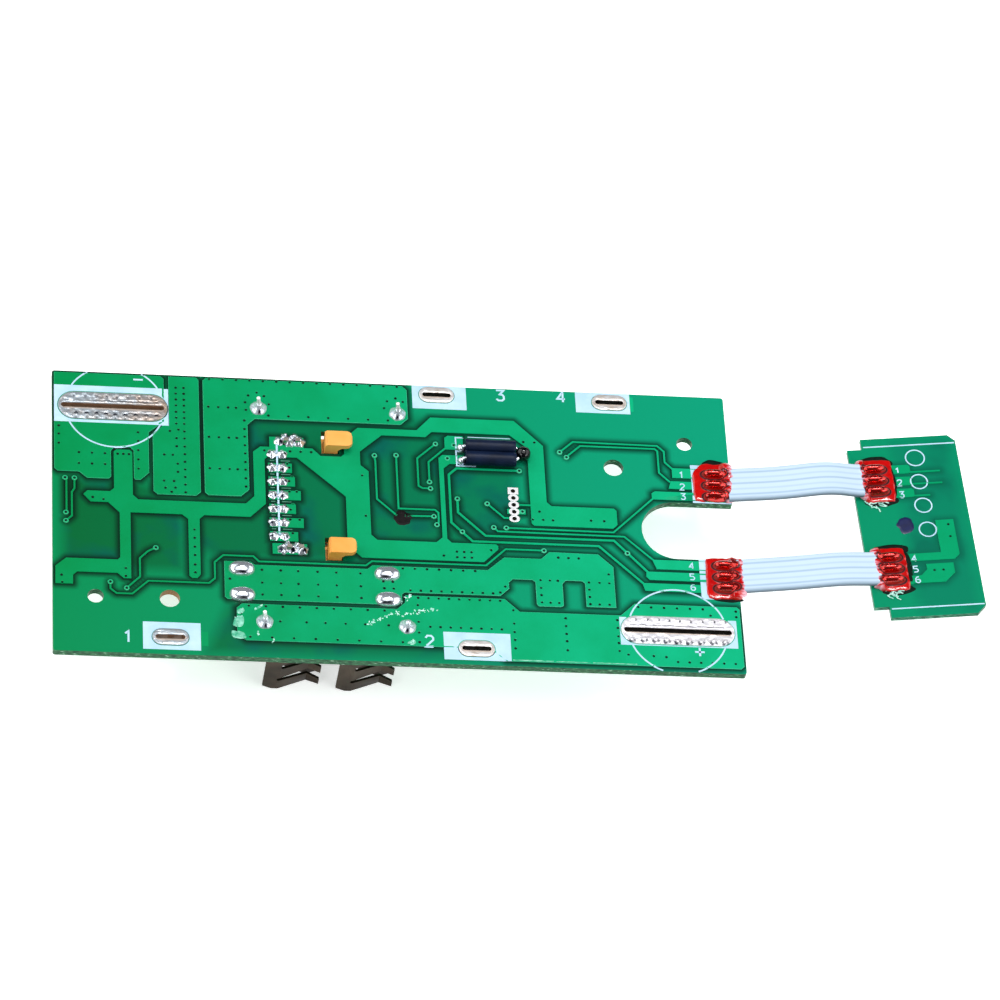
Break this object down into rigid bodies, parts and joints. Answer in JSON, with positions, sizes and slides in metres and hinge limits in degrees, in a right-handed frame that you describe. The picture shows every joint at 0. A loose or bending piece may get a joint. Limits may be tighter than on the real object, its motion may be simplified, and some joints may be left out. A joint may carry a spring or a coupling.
{
  "type": "battery management board",
  "caption": "Flat battery management board with fork terminals and a signal connector below, and a small display board on two flat leads.",
  "frame": {"origin": "centre of the front-left screw hole at the board's solder-side face", "axes": "+X along the board towards the display board, +Y across the board to its rear edge, +Z out of the solder-side face"},
  "size_m": [0.1406, 0.0507, 0.0172],
  "materials": {
    "laminate": "glass-fibre laminate under green solder mask, glossy",
    "masked_copper": "copper under green solder mask, glossy",
    "tinned_land": "rough hot-air tinned copper",
    "solder": "bright cooled solder",
    "tinned_contact": "tinned contact sheet",
    "terminal_bronze": "dull brown bronze sheet",
    "orange_housing": "moulded orange plastic, satin",
    "bead_epoxy": "black epoxy bead, glossy",
    "shrink_sleeve": "blue-black shrink sleeve",
    "lead_jacket": "white flexible jacket",
    "sealant": "red translucent sealant, glossy",
    "light_body": "white body with a clear window",
    "switch_plastic": "black moulded plastic",
    "switch_steel": "stamped steel",
    "moulded_epoxy": "black moulded epoxy package",
    "shunt_metal": "metal strip resistor",
    "chip_ceramic": "small ceramic chip parts"
  },
  "bodies": {
    "boards": {"main_board": "laminate", "display_board": "laminate", "battery_minus_copper": "masked_copper", "shunt_copper": "masked_copper", "minus_copper": "masked_copper", "ground_copper": "masked_copper", "charge_copper": "masked_copper", "plus_copper": "masked_copper", "signal_copper": "masked_copper", "display_copper": "masked_copper", "minus_strip_land": "tinned_land", "plus_strip_land": "tinned_land", "tap_strip_lands": "tinned_land", "test_lands": "tinned_land", "plus_solder": "solder", "minus_solder": "solder", "charge_solder": "solder", "contact_solder": "solder", "thermistor_solder": "solder", "lead_solder": "solder", "display_lead_solder": "solder", "signal_contact_1": "tinned_contact", "signal_contact_2": "tinned_contact", "signal_contact_3": "tinned_contact", "signal_contact_4": "tinned_contact", "signal_contact_5": "tinned_contact", "signal_contact_6": "tinned_contact", "signal_contact_7": "tinned_contact", "front_anchor": "tinned_contact", "rear_anchor": "tinned_contact", "plus_terminal": "terminal_bronze", "minus_terminal": "terminal_bronze", "charge_terminal": "terminal_bronze", "signal_housing": "orange_housing", "thermistor": "bead_epoxy", "rear_sleeve": "shrink_sleeve", "front_sleeve": "shrink_sleeve", "upper_lead": "lead_jacket", "lower_lead": "lead_jacket", "upper_sealant": "sealant", "lower_sealant": "sealant", "upper_display_sealant": "sealant", "lower_display_sealant": "sealant", "light_1": "light_body", "light_2": "light_body", "light_3": "light_body", "light_4": "light_body", "switch_base": "switch_plastic", "switch_cover": "switch_steel", "charge_transistors": "moulded_epoxy", "discharge_transistors": "moulded_epoxy", "control_chip": "moulded_epoxy", "monitor_chip": "moulded_epoxy", "surge_diode": "moulded_epoxy", "small_transistors": "moulded_epoxy", "shunt_resistor": "shunt_metal", "chip_resistors": "chip_ceramic", "chip_capacitors": "chip_ceramic"},
    "plunger": {"switch_plunger": "switch_plastic"}
  },
  "joints": [
    {"name": "switch_press", "type": "slide", "parent": "boards", "child": "plunger", "axis": [-0.0766, -0.0047, 0.9971], "range_m": [0, 0.00025], "stiffness_N_per_m": 1500}
  ]
}
